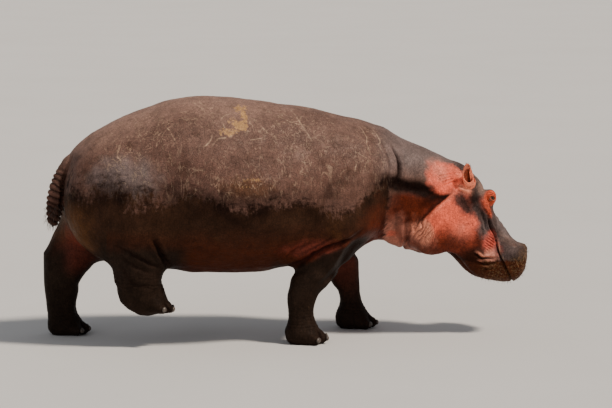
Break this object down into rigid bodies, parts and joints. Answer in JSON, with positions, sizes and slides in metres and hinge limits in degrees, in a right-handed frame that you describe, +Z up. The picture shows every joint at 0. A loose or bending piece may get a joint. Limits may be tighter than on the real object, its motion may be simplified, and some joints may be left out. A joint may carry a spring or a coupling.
{
  "type": "hippopotamus model",
  "caption": "Life-size still model of a common hippopotamus, walking with its head lowered and one hind foot raised off the floor",
  "frame": {"origin": "on the floor, under the middle of the whole model's box", "axes": "+X is the way the animal faces, +Y is its left side, +Z is up"},
  "size_m": [3.1018, 1.183, 1.5612],
  "materials": {
    "hide": "bare, finely wrinkled grey-brown skin, darker and damp on the lower half and legs",
    "face_hide": "bare salmon-pink skin with purple-brown muzzle, muddy towards the lips",
    "eye": "wet, dark brown",
    "nail": "worn grey-brown horn"
  },
  "bodies": {
    "root": {"trunk": "hide", "neck": "hide", "head": "face_hide", "lower_jaw": "face_hide", "ear_right": "face_hide", "ear_left": "face_hide", "eye_right": "eye", "eye_left": "eye", "leg_front_right": "hide", "foot_front_right": "hide", "nail_front_right_1": "nail", "nail_front_right_2": "nail", "nail_front_right_3": "nail", "nail_front_right_4": "nail", "leg_front_left": "hide", "foot_front_left": "hide", "nail_front_left_1": "nail", "nail_front_left_2": "nail", "nail_front_left_3": "nail", "nail_front_left_4": "nail", "leg_hind_right": "hide", "foot_hind_right": "hide", "nail_hind_right_1": "nail", "nail_hind_right_2": "nail", "nail_hind_right_3": "nail", "nail_hind_right_4": "nail", "leg_hind_left": "hide", "foot_hind_left": "hide", "nail_hind_left_1": "nail", "nail_hind_left_2": "nail", "nail_hind_left_3": "nail", "nail_hind_left_4": "nail", "tail": "hide"}
  },
  "joints": []
}
